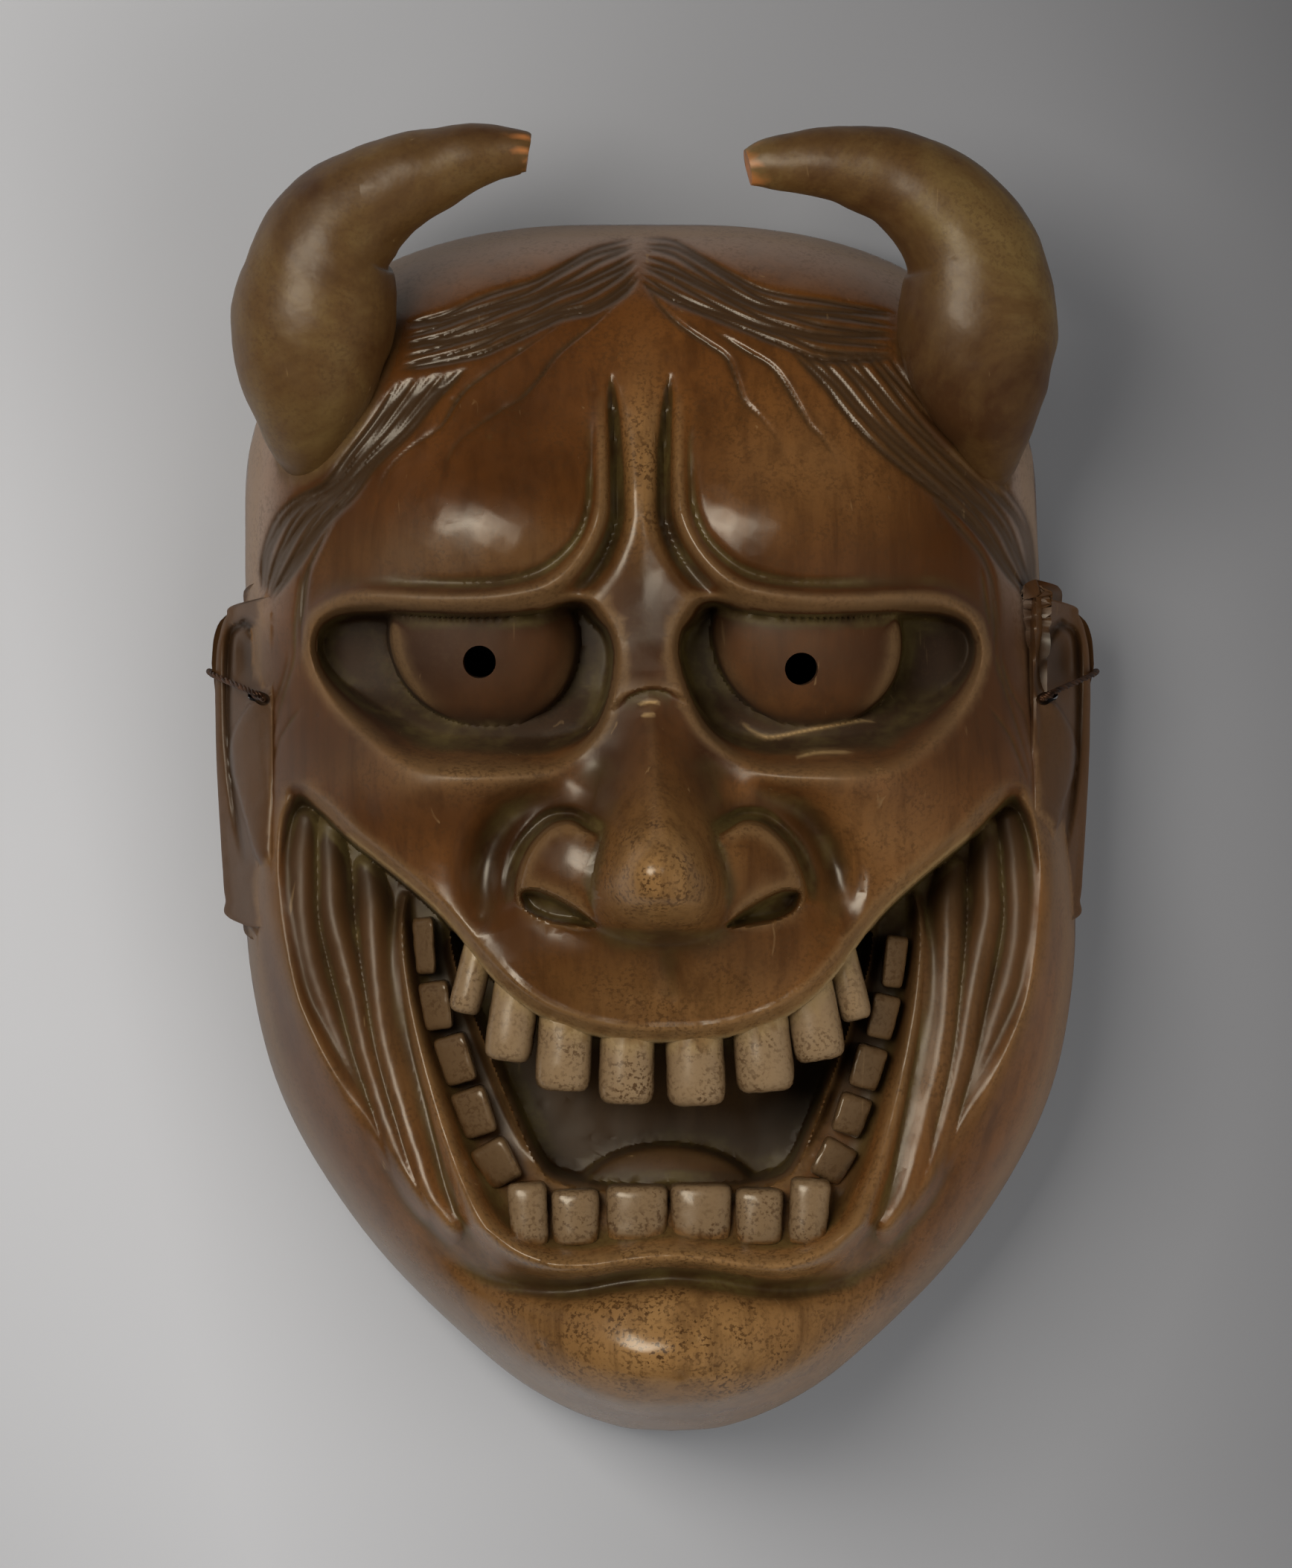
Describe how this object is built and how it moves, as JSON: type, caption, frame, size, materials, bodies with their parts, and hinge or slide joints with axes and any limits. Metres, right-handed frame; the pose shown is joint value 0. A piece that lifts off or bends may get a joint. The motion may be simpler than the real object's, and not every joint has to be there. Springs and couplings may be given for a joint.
{
  "type": "hannya mask",
  "caption": "Carved hollow wooden demon mask with two curved horns, round eye holes, open toothed mouth, side ears with wire loops and a flat back rim",
  "frame": {"origin": "on the flat back rim, in the middle of the mask's width and length", "axes": "+Y from the chin to the horns, +X to the viewer's right, +Z out of the face; the mask lies on its back rim at z = 0"},
  "size_m": [0.1862, 0.2658, 0.1064],
  "materials": {
    "carved_wood": "carved wood under a dark satin varnish",
    "twisted_wire": "darkened brown twisted wire"
  },
  "bodies": {
    "root": {"hannya_mask": "carved_wood", "ear_wire_left": "twisted_wire", "ear_wire_right": "twisted_wire"}
  },
  "joints": []
}
